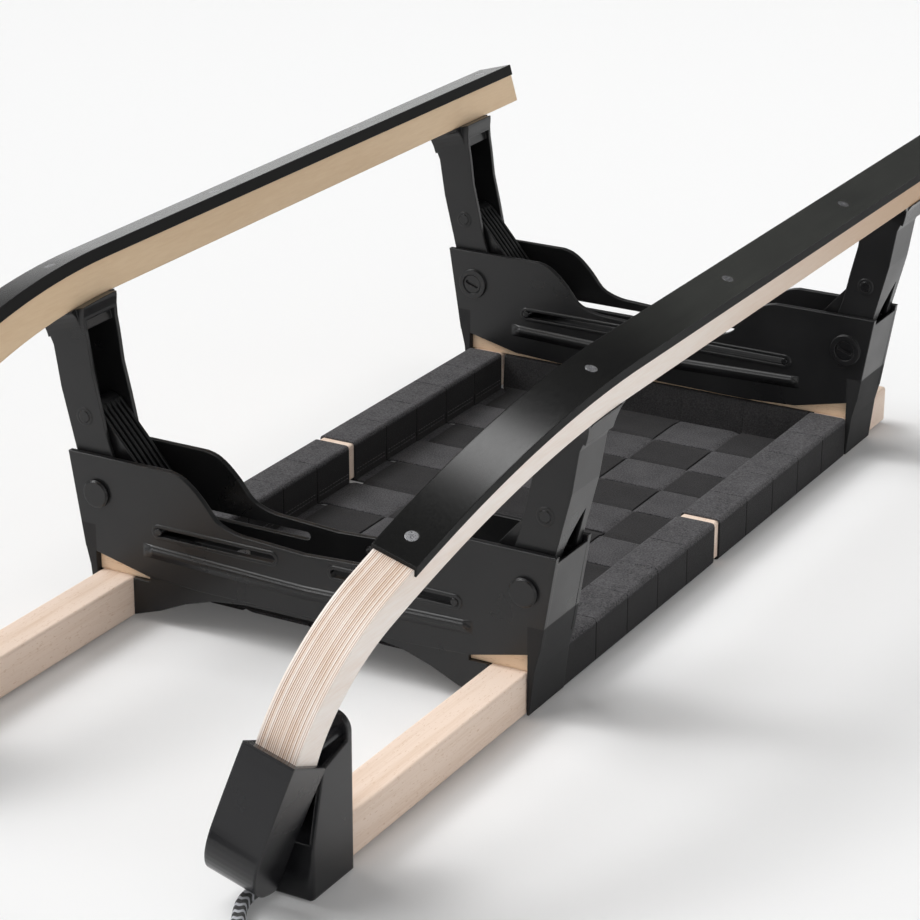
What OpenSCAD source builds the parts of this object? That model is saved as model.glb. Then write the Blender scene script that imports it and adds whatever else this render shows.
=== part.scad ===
// Folding sled with two bow-fronted runners and a woven seat.
// It is drawn as it lies in storage, seat side down and runners up.
// Millimetres. X runs across, -Y is the nose end, Z is up. The origin is on
// the ground under the middle of the sled. Turn it 180 degrees about Y to use it.

/* [Frame] */
// Distance between the front faces of the two cross beams
beam_gap = 501; // [490:1:512]
// Half the distance between the two fold axes
pivot_half = 157.5; // [155:0.5:160]
// Height of the fold axes above the ground
pivot_z = 84; // [83:0.5:87]
// Width of a side rail
rail_w = 27; // [25:0.5:28]
// Height of a side rail
rail_h = 27.5; // [26:0.5:28.5]
// Rounding of a rail's long edges
edge_r = 2.2; // [1:0.1:3]
// Length of rail that stands out behind the rear beam
rail_tail = 36; // [28:1:44]
// Height of a wooden crossbar
bar_h = 20; // [18:0.5:21]

/* [Beams] */
// Depth of a cross beam from front plate to back plate
beam_d = 46; // [44:0.5:50]
// Thickness of a beam plate
plate_t = 4; // [3:0.25:5]
// Height of the slot in each beam plate
slot_h = 5.6; // [5.4:0.1:6.2]
// Radius of a fold pin's shaft
pivot_r = 6; // [5:0.25:6.5]
// Radius of the plain cap on a front fold pin
cap_r = 9.6; // [8.5:0.1:10.5]

/* [Runners] */
// Outward lean of a runner, in degrees
lean = 16; // [15:0.5:17]
// Height of the sole above the fold axis, measured up the leaning runner
sole_v = 152; // [149:0.5:155]
// Width of the wooden runner
run_w = 26.5; // [25:0.5:28]
// Depth of the wooden runner
run_d = 26; // [24:0.5:28]
// Radius of the long front bow
bow_r = 650; // [630:5:670]
// Radius of the tight bow at the nose
nose_r = 105; // [98:1:112]
// Turn of the long bow, in degrees
bow_a = 24; // [23:0.5:25]
// Length of runner behind the rear beam's front face
run_tail = 101; // [80:1:120]
// Thickness of the sole
sole_t = 3; // [2:0.25:4]
// Height of the sole's side lips
lip_h = 5; // [3:0.5:7]
// Radius of a sole screw's head
head_r = 3.8; // [3:0.1:4.5]

/* [Legs and struts] */
// Radius of a strut pin
pin_r = 4; // [3:0.1:4.5]
// Radius of a slot pin
slot_pin_r = 2.5; // [2:0.1:2.6]
// Radius of the hinge pin in the nose
nose_pin_r = 3; // [2:0.1:3]
// Width of a strut
strut_w = 26; // [22:0.5:27]
// Number of ribs on a strut
ribs = 6; // [4:1:7]

/* [Webbing and rope] */
// Thickness of a webbing strap
strap_t = 1.6; // [1.2:0.1:1.8]
// Bare stretch of rail between the two sets of cross straps
bare = 7.5; // [5:0.5:12]
// Diameter of the pull rope
rope_d = 8; // [6:0.5:8]

/* [Hidden] */
$fn = 48;
eps = 0.01;

// Colours as the photograph shows them
wood_colour = [0.87, 0.78, 0.66];
black_colour = [0.16, 0.16, 0.17];
sole_colour = [0.10, 0.10, 0.10];
web_colour = [0.22, 0.22, 0.23];
steel_colour = [0.72, 0.72, 0.74];

// Radial clearance of a pin in a part that turns on it
run_fit = 0.05;
// Gap between a leg and the beam plates on either side of it
side_gap = 1;

// The two beams, by the Y of their front faces
first_y = -154.2;
beam_y = [first_y, first_y + beam_gap];
leg_d = beam_d - 2 * plate_t - 2 * side_gap;
leg_y = plate_t + side_gap;

// Rails and crossbars
rail_out = pivot_half + 2;
rail_in = rail_out - rail_w;
rail_mid = (rail_out + rail_in) / 2;
rail_z = strap_t;
rail_top = rail_z + rail_h;
bar_top = rail_top + bar_h;
bar_y = plate_t + 0.6;
bar_d = beam_d - 2 * plate_t - 1.2;
floor_z = bar_top + 0.2;
floor_t = 3;
beam_screw_x = 60;

// Runner: arcs in the leaning plane, u across and v up from the fold axis
run_u = -4.8;
wood_v = sole_v - sole_t;
under_v = wood_v - run_d;
run_end_y = beam_y[1] + run_tail;
bow_y = beam_y[0] + 50;
bow_v = sole_v - bow_r;
nose_y0 = bow_y - (bow_r - nose_r) * sin(bow_a);
nose_v0 = bow_v + (bow_r - nose_r) * cos(bow_a);
tail_v = -25;
sole_w = run_w + 2.5;
lip_t = (sole_w - run_w) / 2;
sole_a = bow_a - 2;
wood_front = nose_y0 - nose_r + sole_t;

// Strut linkage: pin on the leg, pin in the slot
leg_pin = [11, 49.6];
slot_pin = [-47.8, -17.3];
link = slot_pin - leg_pin;
link_len = norm(link);
link_x = link[0] / link_len;
link_z = link[1] / link_len;
slot_travel = 86.3;
slot_in = slot_pin[0] - slot_travel;
rim_w = 2.2;

// Sole screws: on the straight by distance behind the front beam, on the bow by turn
screw_at = [199, 388, 577];
screw_turns = [3.5, bow_a - 3.5];
screw_len = 20;

// Rope: exit under each nose, then the points it lies on, in front of the sled
rope_r = rope_d / 2;
rope_path = [
  [137.3, 30, 5.8], [137, 21, 5.8], [134, 12, 4.5], [131.5, 3, 4.1], [132.5, -7, 4.1],
  [138, -17, 4.1], [147, -38, 4.1], [149, -62, 4.1], [140, -88, 4.1], [117, -103, 4.1],
  [94, -108, 4.1], [71.9, -108, 4.1]
];
rope_y0 = wood_front;
hank_y = rope_y0 - 130;
hank_l = 158;
hank_w = 52;
hank_h = 17;

// A 2D outline in X and Z drawn from y0 to y1
module xz(y0, y1) {
  translate([0, y1, 0])
    rotate([90, 0, 0])
      linear_extrude(y1 - y0)
        children();
}

// A box from one corner to the opposite one
module span(a, b) {
  translate(a)
    cube(b - a);
}

// A round bar along Y
module bar_along_y(x, z, y0, y1, r) {
  translate([x, y1, z])
    rotate([90, 0, 0])
      cylinder(r = r, h = y1 - y0);
}

// Moves a shape from the leaning plane to its place on the right side
module leaning() {
  translate([pivot_half, 0, pivot_z])
    rotate([0, lean, 0])
      children();
}

// Right side as drawn, left side as its mirror image
module on_side(side) {
  if (side > 0) {
    children();
  } else {
    mirror([1, 0, 0])
      children();
  }
}

// Point of the leaning plane as X and Z measured from the fold axis
function leant(u, v) = [u * cos(lean) + v * sin(lean), v * cos(lean) - u * sin(lean)];

// Point beside the strut's line, s along it and t across it, from the fold axis
function beside(s, t) = [
  leg_pin[0] + s * link_x - t * link_z,
  leg_pin[1] + s * link_z + t * link_x
];

// Side rails

// Points of a rectangle with rounded corners
function rounded(w, h, r) = [
  for (c = [[w - r, h - r, 0], [r, h - r, 90], [r, r, 180], [w - r, r, 270]])
    for (a = [0 : 22.5 : 90])
      [c[0] + r * cos(c[2] + a), c[1] + r * sin(c[2] + a)]
];

module rail(side) {
  color(wood_colour)
    on_side(side)
      difference() {
        xz(seat_y - seat_l + seat_front_t + rail_gap, beam_y[1] + beam_d + rail_tail)
          translate([rail_in, rail_z])
            polygon(rounded(rail_w, rail_h, edge_r));
        for (y = beam_y)
          translate([rail_mid, y + beam_d / 2, 0])
            wood_screw(rail_z, 1);
      }
}

module rail_right() { rail(1); }
module rail_left() { rail(-1); }

// Countersunk wood screw pointing up, its head's face at height z
module wood_screw(z, part) {
  grow = part == 1 ? 0.05 : 0;
  translate([0, 0, z - part * eps]) {
    cylinder(r1 = 4 + grow, r2 = 2 + grow, h = 2.6 + grow);
    cylinder(r = 2 + grow, h = 36 + grow);
  }
}

module rail_screws() {
  color(steel_colour)
    for (s = [-1, 1])
      for (y = beam_y)
        translate([s * rail_mid, y + beam_d / 2, 0])
          wood_screw(rail_z, 0);
}

module crossbar(y) {
  color(wood_colour)
    difference() {
      span([-rail_out - 0.5, y + bar_y, rail_top],
           [rail_out + 0.5, y + bar_y + bar_d, bar_top]);
      for (s = [-1, 1]) {
        translate([s * rail_mid, y + beam_d / 2, 0])
          wood_screw(rail_z, 1);
        translate([s * beam_screw_x, y + beam_d / 2, 0])
          beam_screw(1);
      }
    }
}

module crossbar_front() { crossbar(beam_y[0]); }
module crossbar_rear() { crossbar(beam_y[1]); }

// Screw that holds a beam's floor down on its crossbar
module beam_screw(part) {
  grow = part == 1 ? 0.05 : 0;
  top = floor_z + floor_t;
  translate([0, 0, bar_top - 14])
    cylinder(r = 2 + grow, h = top - bar_top + 14 + part);
  translate([0, 0, top - part * eps])
    cylinder(r = 4.5 + grow, h = 2.2 + part);
}

module beam_screws() {
  color(steel_colour)
    for (s = [-1, 1])
      for (y = beam_y)
        translate([s * beam_screw_x, y + beam_d / 2, 0])
          beam_screw(0);
}

// Cross beams

// Points of a smooth line through the given ones, n to each stretch
function flowing(p, n) = concat(
  [for (i = [0 : len(p) - 2]) for (k = [0 : n - 1])
    smooth(pick(p, i - 1), p[i], p[i + 1], pick(p, i + 2), k / n)],
  [p[len(p) - 1]]
);

// Right half of a beam plate, from the fold axis
half_plate = concat(
  [[-pivot_half, -10]],
  flowing([[-118, -7.9], [-110.7, -7.5], [-101.6, -5.6], [-91.9, -1.1], [-83, 9.4],
           [-73.5, 18.6], [-65, 24], [-57, 26]], 3),
  [[21.5, 26], [11, -39.3], [2.3, -41.4], [-38.5, -50.8], [-78.5, -52.8],
   [-pivot_half, -52]]
);

// Arched gusset that steadies the rail below the plate
gusset = [
  [-pivot_half, -50], [-pivot_half, -55], [-112, -55.2], [-88, -58], [-66, -65],
  [-46, -74], [-25.3, -81], [-25.3, -55], [-38.5, -55], [-38.5, -49]
];

module plate_half_2d() {
  translate([pivot_half, pivot_z])
    difference() {
      polygon(half_plate);
      circle(r = pivot_r);
      slot_2d(slot_h / 2);
    }
}

// Round-ended slot over the whole travel of a strut pin, r from its middle line
module slot_2d(r) {
  translate([slot_in, slot_pin[1] - r])
    square([slot_travel, 2 * r]);
  for (x = [slot_in, slot_pin[0]])
    translate([x, slot_pin[1]])
      circle(r = r);
}

// Raised rim round a slot, to the outside of its front plate
module slot_rim_2d() {
  translate([pivot_half, pivot_z])
    difference() {
      slot_2d(slot_h / 2 + rim_w);
      slot_2d(slot_h / 2);
    }
}

// Long bead below the slots
module bead_2d() {
  polygon([
    [0, pivot_z - 37.5], [pivot_half - 40, pivot_z - 34], [pivot_half - 36.5, pivot_z - 32],
    [pivot_half - 40, pivot_z - 30.5], [0, pivot_z - 33.5]
  ]);
}

// Wall that closes a beam at its end, from the top down to the crossbar
module end_wall_2d() {
  translate([pivot_half, pivot_z])
    polygon([
      [20.8, 22], [13.6, -22], [10.8, -39], [2.8, -39], [2.8, bar_top - pivot_z + 3],
      [11.2, -22], [18.9, 22]
    ]);
}

// Skirt below that wall, over the crossbar's end and the rail's side
module skirt_2d() {
  translate([pivot_half, pivot_z])
    polygon([
      [10.8, -39], [7.6, -52], [4.2, 2 - pivot_z], [2.8, 2 - pivot_z], [2.8, -39]
    ]);
}

module beam_half(y, gusset_y) {
  xz(y, y + plate_t)
    plate_half_2d();
  xz(y + beam_d - plate_t, y + beam_d)
    plate_half_2d();
  xz(gusset_y, gusset_y + plate_t - 1.2)
    translate([pivot_half, pivot_z])
      polygon(gusset);
  xz(y + plate_t - eps, y + beam_d - plate_t + eps)
    end_wall_2d();
  xz(y, y + beam_d)
    skirt_2d();
  xz(y - 0.8, y + eps)
    slot_rim_2d();
  xz(y - 0.9, y + eps)
    bead_2d();
  span([0, y + plate_t - eps, floor_z],
       [pivot_half - 8, y + beam_d - plate_t + eps, floor_z + floor_t]);
}

module beam(y, collar) {
  gusset_y = collar > 0 ? y + beam_d - plate_t : y + 1.2;
  color(black_colour)
    difference() {
      union() {
        beam_half(y, gusset_y);
        mirror([1, 0, 0])
          beam_half(y, gusset_y);
        if (collar > 0)
          for (s = [-1, 1])
            bar_along_y(s * pivot_half, pivot_z, y - collar, y + eps, cap_r + 2);
      }
      for (s = [-1, 1]) {
        bar_along_y(s * pivot_half, pivot_z, y - 5, y + beam_d + 1, pivot_r + run_fit);
        if (collar > 0)
          bar_along_y(s * pivot_half, pivot_z, y - collar - 1, y, cap_r - 1.8);
        translate([s * beam_screw_x, y + beam_d / 2, 0])
          beam_screw(1);
      }
    }
}

module beam_front() { beam(beam_y[0], 0); }
module beam_rear() { beam(beam_y[1], 2); }

// Fold pins: a plain cap in front, a coin slot at the rear beam

module pivot_pins_front() {
  y = beam_y[0];
  color(black_colour)
    for (s = [-1, 1]) {
      bar_along_y(s * pivot_half, pivot_z, y - eps, y + beam_d + 1, pivot_r);
      bar_along_y(s * pivot_half, pivot_z, y - 2.2, y, cap_r);
      bar_along_y(s * pivot_half, pivot_z, y - 3, y - 2.2 + eps, cap_r - 0.9);
      bar_along_y(s * pivot_half, pivot_z, y + beam_d, y + beam_d + 3, cap_r - 1);
    }
}

module pivot_pins_rear() {
  y = beam_y[1];
  color(black_colour)
    for (s = [-1, 1])
      difference() {
        union() {
          bar_along_y(s * pivot_half, pivot_z, y - eps, y + beam_d + 1, pivot_r);
          bar_along_y(s * pivot_half, pivot_z, y - 1.6, y, cap_r - 2.1);
          bar_along_y(s * pivot_half, pivot_z, y + beam_d, y + beam_d + 3, cap_r - 1);
        }
        translate([s * pivot_half, y - 1.2, pivot_z])
          rotate([0, 20, 0])
            cube([11, 2, 2.4], center = true);
      }
}

// Nose: a seat on the rail and a cap on the runner, hinged on one pin

seat_out = pivot_half + 6.5;
seat_in = rail_in - 3;
seat_y = wood_front + 64;
seat_l = 44;
seat_wall = 3;
seat_r = 4.5;
seat_front_t = 8;
// Gap between the seat's front wall and the rail's end in it
rail_gap = 2;
ear_r = 11;
ear_top = pivot_z + 12;

// Side outline of the seat in Y and Z
seat_side = [
  [seat_y, 0], [seat_y, pivot_z - 2.5], [seat_y - 29, pivot_z - 10],
  [seat_y - 40.5, 30], [seat_y - seat_l, 1.5], [seat_y - seat_l + 1.5, 0]
];

// Outline of the seat's rear plate in X and Z, with a rounded ear at the top
module ear_2d() {
  translate([seat_in, 0])
    square([seat_out - seat_in, ear_top - ear_r]);
  translate([seat_in + ear_r, 0])
    square([seat_out - seat_in - 2 * ear_r, ear_top]);
  for (x = [seat_in + ear_r, seat_out - ear_r])
    translate([x, ear_top - ear_r])
      circle(r = ear_r);
}

// Plan outline of the seat with its front corners cut back in short flats
module seat_plan_2d() {
  y = seat_y - seat_l;
  polygon([
    [seat_in, seat_y + 1], [seat_in, y + seat_r], [seat_in + 0.3 * seat_r, y + 0.3 * seat_r],
    [seat_in + seat_r, y], [seat_out - seat_r, y],
    [seat_out - 0.6 * seat_r, y + 0.08 * seat_r], [seat_out - 0.3 * seat_r, y + 0.3 * seat_r],
    [seat_out - 0.08 * seat_r, y + 0.6 * seat_r], [seat_out, y + seat_r],
    [seat_out, seat_y + 1]
  ]);
}

module yz(x0, x1) {
  translate([x0, 0, 0])
    rotate([90, 0, 90])
      linear_extrude(x1 - x0)
        children();
}

module nose_seat(side) {
  color(black_colour)
    on_side(side)
      difference() {
        union() {
          intersection() {
            yz(seat_in, seat_out)
              polygon(seat_side);
            linear_extrude(pivot_z)
              seat_plan_2d();
          }
          xz(seat_y - 4, seat_y)
            ear_2d();
        }
        span([seat_in + seat_wall, seat_y - seat_l - 1, rail_top + seat_wall],
             [seat_out - seat_wall, seat_y - 4, ear_top + 1]);
        span([rail_in, seat_y - seat_l + seat_front_t, rail_z],
             [rail_out, seat_y + 1, rail_top]);
        bar_along_y(rope_path[0][0], rope_path[0][2], seat_y - seat_l - 1,
                    seat_y - seat_l + seat_front_t + 1, rope_r + 0.5);
        bar_along_y(pivot_half, pivot_z, seat_y - 5, seat_y + 1, nose_pin_r);
      }
}

module nose_seat_right() { nose_seat(1); }
module nose_seat_left() { nose_seat(-1); }

module nose_pins() {
  color(steel_colour)
    for (s = [-1, 1])
      bar_along_y(s * pivot_half, pivot_z, wood_front + run_d / 2 + 1, seat_y, nose_pin_r);
}

// Side outline of the cap in Y and v, from the wood's front face and the fold axis
cap_side = concat(
  flowing([[-8, 16], [-12, 0], [-18.2, -28], [-20.2, -42], [-18.9, -54], [-14, -64.3],
           [-6, -71.5], [3, -75]], 3),
  [[8.5, -75.8], [11, -75.3], [12.3, -73.5], [19, -42], [25.5, -20], [31, -4], [29, -2]]
);

module cap_body() {
  yz(run_u - sole_w / 2 - 2, run_u + sole_w / 2 + 2)
    translate([wood_front, 0])
      polygon(cap_side);
}

module nose_cap(side) {
  color(black_colour)
    on_side(side)
      leaning()
        difference() {
          cap_body();
          runner_wood(0);
          span([run_u - run_w / 2, wood_front + run_d - eps, tail_v],
               [run_u + run_w / 2, wood_front + run_d + 20, 30]);
          span([run_u - run_w / 2, wood_front - 8, -70],
               [run_u + run_w / 2, wood_front + 50, tail_v - 4]);
        }
}

module nose_cap_right() { nose_cap(1); }
module nose_cap_left() { nose_cap(-1); }

// Wooden runner, sole and sole screws

// Points in Y and v along the runner at a depth below the sole's face
function bow_line(depth, turn) = [
  for (a = [0 : 1 : turn])
    [bow_y - (bow_r - depth) * sin(a), bow_v + (bow_r - depth) * cos(a)]
];
function nose_line(depth) = [
  for (a = [bow_a + 3 : 3 : 90])
    [nose_y0 - (nose_r - depth) * sin(a), nose_v0 + (nose_r - depth) * cos(a)]
];
function reversed(p) = [for (i = [len(p) - 1 : -1 : 0]) p[i]];

// Side outline of the runner between two depths, down into the nose
module runner_side_2d(d0, d1) {
  polygon(concat(
    [[run_end_y, sole_v - d0]], bow_line(d0, bow_a), nose_line(d0),
    [[nose_y0 - nose_r + d0, tail_v], [nose_y0 - nose_r + d1, tail_v]],
    reversed(nose_line(d1)), reversed(bow_line(d1, bow_a)), [[run_end_y, sole_v - d1]]
  ));
}

// Side outline of the sole between two depths, ending on the long bow
module sole_side_2d(d0, d1) {
  polygon(concat(
    [[run_end_y, sole_v - d0]], bow_line(d0, sole_a),
    reversed(bow_line(d1, sole_a)), [[run_end_y, sole_v - d1]]
  ));
}

module runner_wood(hole) {
  difference() {
    yz(run_u - run_w / 2, run_u + run_w / 2)
      runner_side_2d(sole_t, sole_t + run_d);
    if (hole > 0) {
      translate([0, wood_front + 13, 0])
        rotate([-90, 0, 0])
          cylinder(r = nose_pin_r + run_fit, h = run_d);
      at_screws()
        sole_screw(0.03);
    }
  }
}

module runner(side) {
  color(wood_colour)
    on_side(side)
      leaning()
        runner_wood(1);
}

module runner_right() { runner(1); }
module runner_left() { runner(-1); }

// Places a shape at each sole screw, its head's face at the origin
module at_screws() {
  for (y = screw_at)
    translate([run_u, beam_y[0] + y, sole_v])
      children();
  for (a = screw_turns)
    translate([run_u, bow_y, bow_v])
      rotate([a, 0, 0])
        translate([0, 0, bow_r])
          children();
}

// Countersunk screw pointing down, grown by its clearance
module sole_screw(grow) {
  translate([0, 0, -2.4])
    cylinder(r1 = 1.9 + grow, r2 = head_r + grow, h = 2.4);
  if (grow > 0)
    translate([0, 0, -eps])
      cylinder(r = head_r + grow, h = 2);
  translate([0, 0, -screw_len])
    cylinder(r = 1.9 + grow, h = screw_len - 2.4 + eps);
}

// Cross-shaped recess in a screw head
module cross_recess() {
  for (a = [0, 90])
    rotate([0, 0, a])
      cube([3.6, 0.9, 1.6], center = true);
}

module sole_screws(side) {
  color(steel_colour)
    on_side(side)
      leaning()
        at_screws()
          difference() {
            sole_screw(0);
            cross_recess();
          }
}

module sole_screws_right() { sole_screws(1); }
module sole_screws_left() { sole_screws(-1); }

module sole(side) {
  color(sole_colour)
    on_side(side)
      leaning()
        difference() {
          union() {
            yz(run_u - sole_w / 2, run_u + sole_w / 2)
              sole_side_2d(0, sole_t);
            for (s = [-1, 1])
              translate([run_u + s * (sole_w + run_w) / 4, 0, 0])
                yz(-lip_t / 2, lip_t / 2)
                  sole_side_2d(0, sole_t + lip_h);
          }
          at_screws()
            sole_screw(0.03);
        }
}

module sole_right() { sole(1); }
module sole_left() { sole(-1); }

// Legs

// Outline of a leg in X and Z, from the fold axis
leg_outline = [
  [14.3, -2], [18.2, 25.5], [28.5, 67], [33, 95],
  leant(7.5, under_v - 9), leant(8.2, under_v - 4), leant(9.5, under_v),
  leant(-27, under_v), leant(-26.6, under_v - 2.5), leant(-24.6, under_v - 8),
  leant(-22.8, under_v - 16), leant(-21.6, under_v - 26),
  [3.5, 79], [-1.5, 58], [-6, 37], [-11.5, 20], [-14.3, 2]
];

// The hollow of a leg, open towards the middle of the sled
leg_hollow = [
  [-40, 19], [14, 19], [25.3, 66], [30, 96], leant(4, under_v - 6),
  leant(-13, under_v - 6), [-40, 110]
];

module leg_solid() {
  linear_extrude(leg_d)
    union() {
      circle(r = 14.4);
      polygon(leg_outline);
    }
}

// Spread foot under the runner, its outline along Y from the leg's front face
foot_out = 7;
foot_r = 15;
function foot_edge(y, dir) = [
  for (a = [0 : 15 : 90])
    [y + dir * foot_out * (1 - cos(a)), under_v - foot_r - 2 + foot_r * sin(a)]
];

module leg_foot(y) {
  leaning()
    yz(-20, 8)
      polygon(concat(
        foot_edge(y + leg_d, 1), [[y + leg_d + foot_out, under_v], [y - foot_out, under_v]],
        reversed(foot_edge(y, -1))
      ));
}

// Tall window in the outer wall, leaning back to a point at its rear
leg_window = [
  [8, 16], [9.5, 22], [13, 30], [18, 37], [23, 43], [28.5, 48], [29, 16]
];

module leg(side, y) {
  color(black_colour)
    on_side(side)
      difference() {
        union() {
          translate([pivot_half, y + leg_y + leg_d, pivot_z])
            rotate([90, 0, 0])
              leg_blank();
          leg_foot(y + leg_y);
        }
        leaning()
          yz(run_u - sole_w, run_u + sole_w)
            runner_side_2d(sole_t, sole_t + run_d);
        translate([pivot_half, y + leg_y, pivot_z])
          yz(8, 40)
            polygon(leg_window);
      }
}

// A leg standing on its fold axis, drawn in X and Z and extruded along its depth
module leg_blank() {
  difference() {
    union() {
      leg_solid();
      translate([leg_pin[0], leg_pin[1], leg_d - eps])
        cylinder(r = pin_r + 2, h = 0.4);
    }
    translate([0, 0, 3])
      linear_extrude(leg_d - 6) {
        polygon(leg_hollow);
        polygon([beside(12, 9.4), beside(110, 9.4), beside(110, -50), beside(12, -50)]);
      }
    translate([0, 0, -1])
      cylinder(r = pivot_r + run_fit, h = leg_d + 2);
    translate([leg_pin[0], leg_pin[1], -1])
      cylinder(r = pin_r, h = leg_d + 2);
  }
}

module leg_front_right() { leg(1, beam_y[0]); }
module leg_rear_right() { leg(1, beam_y[1]); }
module leg_front_left() { leg(-1, beam_y[0]); }
module leg_rear_left() { leg(-1, beam_y[1]); }

module leg_pins(side) {
  color(black_colour)
    on_side(side)
      for (y = beam_y)
        bar_along_y(pivot_half + leg_pin[0], pivot_z + leg_pin[1],
                    y + leg_y - 0.6, y + leg_y + leg_d, pin_r);
}

module leg_pins_right() { leg_pins(1); }
module leg_pins_left() { leg_pins(-1); }

// Ribbed struts, open at the foot where they bear on the slot pin

strut_web = [
  beside(0, -3), beside(75, -3), beside(81, -3), beside(81, 1), beside(75, 2), beside(0, 3)
];
strut_rib = [
  beside(0, -9), beside(30, -9), beside(78, -8.4), beside(93, -8.4), beside(93, -3.4),
  beside(81, -3.4), beside(80.5, 3), beside(74, 6.5), beside(30, 8.5), beside(0, 9)
];

module strut(side, y) {
  pitch = (strut_w - 2) / (ribs - 1);
  color(black_colour)
    on_side(side)
      translate([pivot_half, y + (beam_d + strut_w) / 2, pivot_z])
        rotate([90, 0, 0])
          difference() {
            union() {
              translate([leg_pin[0], leg_pin[1], 0])
                cylinder(r = 7.6, h = strut_w);
              linear_extrude(strut_w)
                polygon(strut_web);
              for (i = [0 : ribs - 1])
                translate([0, 0, i * pitch])
                  linear_extrude(2)
                    polygon(strut_rib);
            }
            translate([leg_pin[0], leg_pin[1], -1])
              cylinder(r = pin_r + run_fit, h = strut_w + 2);
          }
}

module strut_front_right() { strut(1, beam_y[0]); }
module strut_rear_right() { strut(1, beam_y[1]); }
module strut_front_left() { strut(-1, beam_y[0]); }
module strut_rear_left() { strut(-1, beam_y[1]); }

module slot_pin_part(side, y) {
  color(black_colour)
    on_side(side)
      bar_along_y(pivot_half + slot_pin[0], pivot_z + slot_pin[1],
                  y - 1.2, y + beam_d + 0.5, slot_pin_r);
}

module slot_pin_front_right() { slot_pin_part(1, beam_y[0]); }
module slot_pin_rear_right() { slot_pin_part(1, beam_y[1]); }
module slot_pin_front_left() { slot_pin_part(-1, beam_y[0]); }
module slot_pin_rear_left() { slot_pin_part(-1, beam_y[1]); }

// Woven seat: cross straps round the rails, long straps from bar to bar

cross_n = 5;
field_y0 = beam_y[0] + beam_d + 0.3;
field_y1 = beam_y[1] - 0.3;
cross_p = (field_y1 - field_y0 - bare) / (2 * cross_n);
cross_w = cross_p - 1;
long_p = 2 * rail_in / 5.4;
long_w = long_p - 1.6;
long_n = 5;
layer = strap_t - 0.1;
lift = strap_t + 0.1;

function cross_y(i) = field_y0 + cross_p * (i + 0.5) + (i >= cross_n ? bare : 0);
function long_x(j) = (j - (long_n - 1) / 2) * long_p;
function is_up(i, j) = (i + j) % 2 == 0;

module cross_strap(i) {
  y0 = cross_y(i) - cross_w / 2;
  y1 = cross_y(i) + cross_w / 2;
  edge = long_x(long_n - 1) + long_p / 2;
  for (s = [-1, 1])
    on_side(s)
      difference() {
        span([rail_in - strap_t, y0, 0], [rail_out + strap_t, y1, rail_top + strap_t]);
        span([rail_in, y0 - 1, rail_z], [rail_out, y1 + 1, rail_top]);
      }
  for (j = [0 : long_n - 1]) {
    z = is_up(i, j) ? lift : 0;
    span([long_x(j) - long_p / 2 - 0.3, y0, z], [long_x(j) + long_p / 2 + 0.3, y1, z + layer]);
    if (j > 0)
      span([long_x(j) - long_p / 2 - 0.3, y0, 0],
           [long_x(j) - long_p / 2 + 0.3, y1, lift + layer]);
  }
  for (s = [-1, 1])
    on_side(s) {
      span([edge - 0.3, y0, 0], [edge + 0.3, y1, lift + layer]);
      span([edge, y0, 0], [rail_in, y1, layer]);
    }
}

module straps_cross() {
  color(web_colour)
    for (i = [0 : 2 * cross_n - 1])
      cross_strap(i);
}

// Side outline of a long strap's end, where it climbs to the crossbar
module long_end_2d(y, dir) {
  translate([y, 0])
    mirror([dir < 0 ? 1 : 0, 0])
      polygon([
        [0.3, 0], [0.3, lift + layer], [-1.4, lift + layer], [-3, rail_top - strap_t],
        [-3, rail_top - 0.1], [-40, rail_top - 0.1], [-40, rail_top - strap_t],
        [-4.6, rail_top - strap_t], [-3, 0]
      ]);
}

module long_strap(j) {
  x0 = long_x(j) - long_w / 2;
  x1 = long_x(j) + long_w / 2;
  for (i = [0 : 2 * cross_n - 1]) {
    z = is_up(i, j) ? 0 : lift;
    half = cross_p / 2 + (i == cross_n - 1 ? bare : 0);
    span([x0, cross_y(i) - cross_p / 2 - 0.2, z], [x1, cross_y(i) + half + 0.2, z + layer]);
    span([x0, cross_y(i) - cross_p / 2 - 0.2, 0],
         [x1, cross_y(i) - cross_p / 2 + 0.2, lift + layer]);
  }
  span([x0, field_y1 - 0.2, 0], [x1, field_y1 + 0.3, lift + layer]);
  yz(x0, x1)
    long_end_2d(field_y0 + 0.1, 1);
  yz(x0, x1)
    long_end_2d(field_y1 - 0.1, -1);
}

module straps_long() {
  color(web_colour)
    for (j = [0 : long_n - 1])
      long_strap(j);
}

// Pull rope, lying on the ground in front of the nose

rope_sides = 10;

// Point t of the way along the smooth curve through four route points
function smooth(a, b, c, d, t) =
  0.5 * ((2 * b) + (c - a) * t + (2 * a - 5 * b + 4 * c - d) * t * t
         + (3 * b - a - 3 * c + d) * t * t * t);

function pick(p, i) = p[max(0, min(len(p) - 1, i))];

function rope_points(p) = concat(
  [for (i = [0 : len(p) - 2]) for (t = [0, 0.5])
    smooth(pick(p, i - 1), p[i], p[i + 1], pick(p, i + 2), t)],
  [p[len(p) - 1]]
);

function unit(v) = v / norm(v);

function rope_way(p, i) = unit(pick(p, i + 1) - pick(p, i - 1));

function ring_of(p, i) =
  let (d = rope_way(p, i), a = unit(cross(d, [0.9, 0.43, 0.05])), b = cross(d, a))
  [for (k = [0 : rope_sides - 1])
    p[i] + rope_r * (cos(360 * k / rope_sides) * a + sin(360 * k / rope_sides) * b)];

module rope_tube(route) {
  p = rope_points(route);
  n = len(p);
  m = rope_sides;
  points = [for (i = [0 : n - 1]) each ring_of(p, i)];
  walls = [for (i = [0 : n - 2]) for (k = [0 : m - 1]) each [
    [i * m + k, i * m + (k + 1) % m, (i + 1) * m + (k + 1) % m],
    [i * m + k, (i + 1) * m + (k + 1) % m, (i + 1) * m + k]]];
  ends = [[for (k = [0 : m - 1]) m - 1 - k], [for (k = [0 : m - 1]) (n - 1) * m + k]];
  polyhedron(points, concat(walls, ends));
}

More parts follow.
